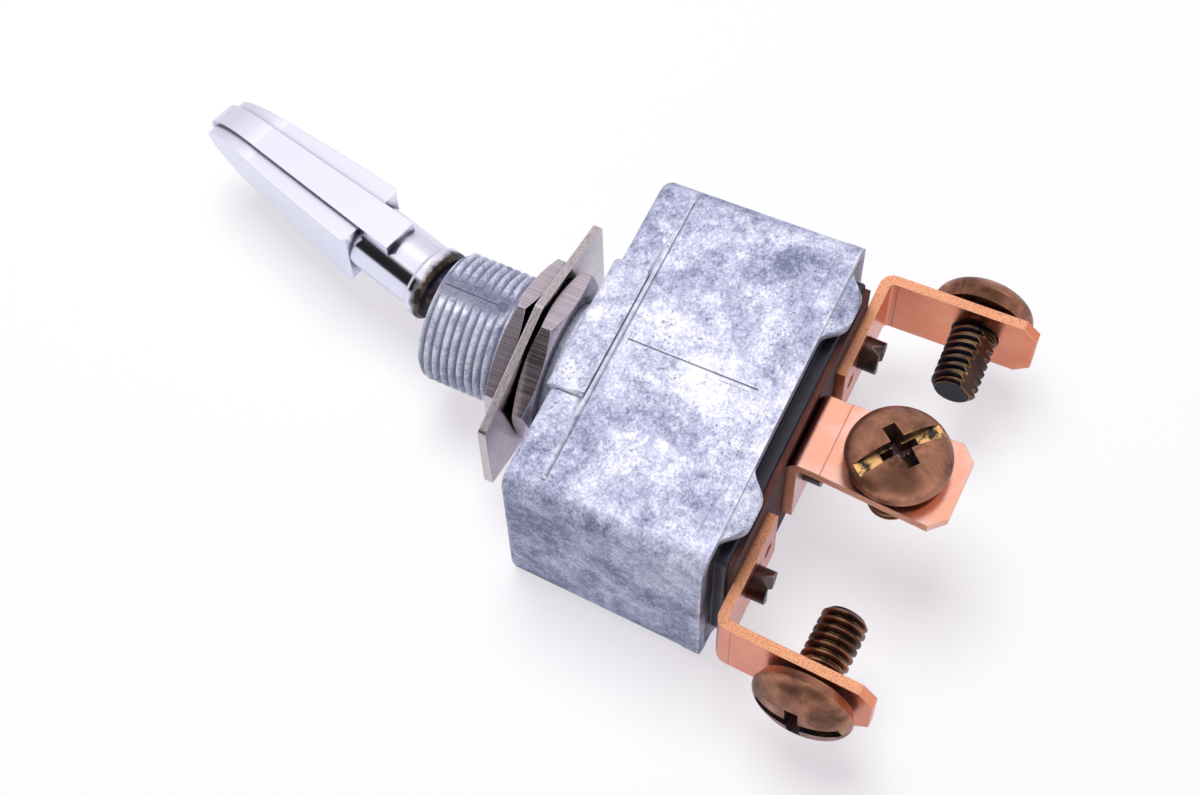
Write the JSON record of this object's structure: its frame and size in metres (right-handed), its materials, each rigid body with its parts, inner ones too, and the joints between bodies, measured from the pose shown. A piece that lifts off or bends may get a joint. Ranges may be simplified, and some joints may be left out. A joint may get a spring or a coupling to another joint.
{
  "type": "panel toggle switch",
  "caption": "Panel-mount toggle switch: flat tapered lever, threaded bushing with hex nuts and a plate, die-cast housing, and bent copper terminals with screws.",
  "frame": {"origin": "on the bushing's axis in the plane of the front nut's outer face, where the free thread starts", "axes": "-Y along the bushing out of the panel, +Y to the terminals; X along the housing's length, the way the lever throws; +Z out of the long side that faces up as the switch lies on its back"},
  "size_m": [0.0446, 0.0777, 0.0195],
  "materials": {
    "zinc": "die-cast zinc, mottled pale and blue grey, scuffed",
    "chrome": "bright chrome plate",
    "nickel": "nickel-plated steel with fine turning lines",
    "plate_steel": "nickel-plated sheet steel",
    "copper": "bare copper, satin, with speckled sheared edges",
    "bronze": "brown tarnished brass, semi-gloss",
    "stud_metal": "brown tarnished brass",
    "black_moulding": "black moulded phenolic, satin",
    "fibre": "reddish-brown vulcanised fibre",
    "silver": "silver contact face",
    "spring_steel": "spring wire",
    "inner_copper": "copper strip",
    "plunger_brass": "turned brass"
  },
  "bodies": {
    "housing": {"housing": "zinc", "pivot_pin": "nickel", "plate": "plate_steel", "rocker_bracket": "inner_copper", "fixed_contact_right": "silver", "fixed_contact_left": "silver", "base": "black_moulding", "insulating_sheet": "fibre", "terminal_right": "copper", "terminal_left": "copper", "terminal_middle": "copper", "stud_right": "stud_metal", "stud_left": "stud_metal", "stud_middle": "stud_metal"},
    "lever": {"lever": "chrome", "plunger_spring": "spring_steel"},
    "plunger": {"plunger": "plunger_brass"},
    "rocker": {"rocker": "inner_copper", "rocker_contact_right": "silver", "rocker_contact_left": "silver"},
    "back_nut": {"back_nut": "nickel"},
    "front_nut": {"front_nut": "nickel"},
    "screw_right": {"screw_right": "bronze"},
    "screw_left": {"screw_left": "bronze"},
    "screw_middle": {"screw_middle": "bronze"}
  },
  "joints": [
    {"name": "lever_throw", "type": "hinge", "parent": "housing", "child": "lever", "pos_m": [0, -0.0015, 0], "axis": [0, 0, 1], "range_deg": [0, 31.6]},
    {"name": "plunger_slide", "type": "slide", "parent": "lever", "child": "plunger", "axis": [-0.2723, -0.9622, 0], "range_m": [0, 0.0006], "stiffness_N_per_m": 1500, "springref_m": -0.003, "deforming": ["plunger_spring"]},
    {"name": "rocker_tilt", "type": "hinge", "parent": "housing", "child": "rocker", "pos_m": [0, 0.0185, 0], "axis": [0, 0, 1], "range_deg": [-8, 0]},
    {"name": "back_nut_turn", "type": "hinge", "parent": "housing", "child": "back_nut", "pos_m": [0, 0.0036, 0], "axis": [0, -1, 0], "continuous": true},
    {"name": "front_nut_turn", "type": "hinge", "parent": "housing", "child": "front_nut", "pos_m": [0, 0.0008, 0], "axis": [0, -1, 0], "continuous": true},
    {"name": "screw_right_turn", "type": "hinge", "parent": "housing", "child": "screw_right", "pos_m": [0.01867, 0.0357, 0], "axis": [0.999, -0.0436, 0], "continuous": true},
    {"name": "screw_left_turn", "type": "hinge", "parent": "housing", "child": "screw_left", "pos_m": [-0.01867, 0.0357, 0], "axis": [-0.999, -0.0436, 0], "continuous": true},
    {"name": "screw_middle_turn", "type": "hinge", "parent": "housing", "child": "screw_middle", "pos_m": [0, 0.035, 0.0063], "axis": [0, 0, 1], "continuous": true}
  ],
  "couplings": [
    {"joint": "rocker_tilt", "follows": "lever_throw", "ratio": -0.25316}
  ]
}
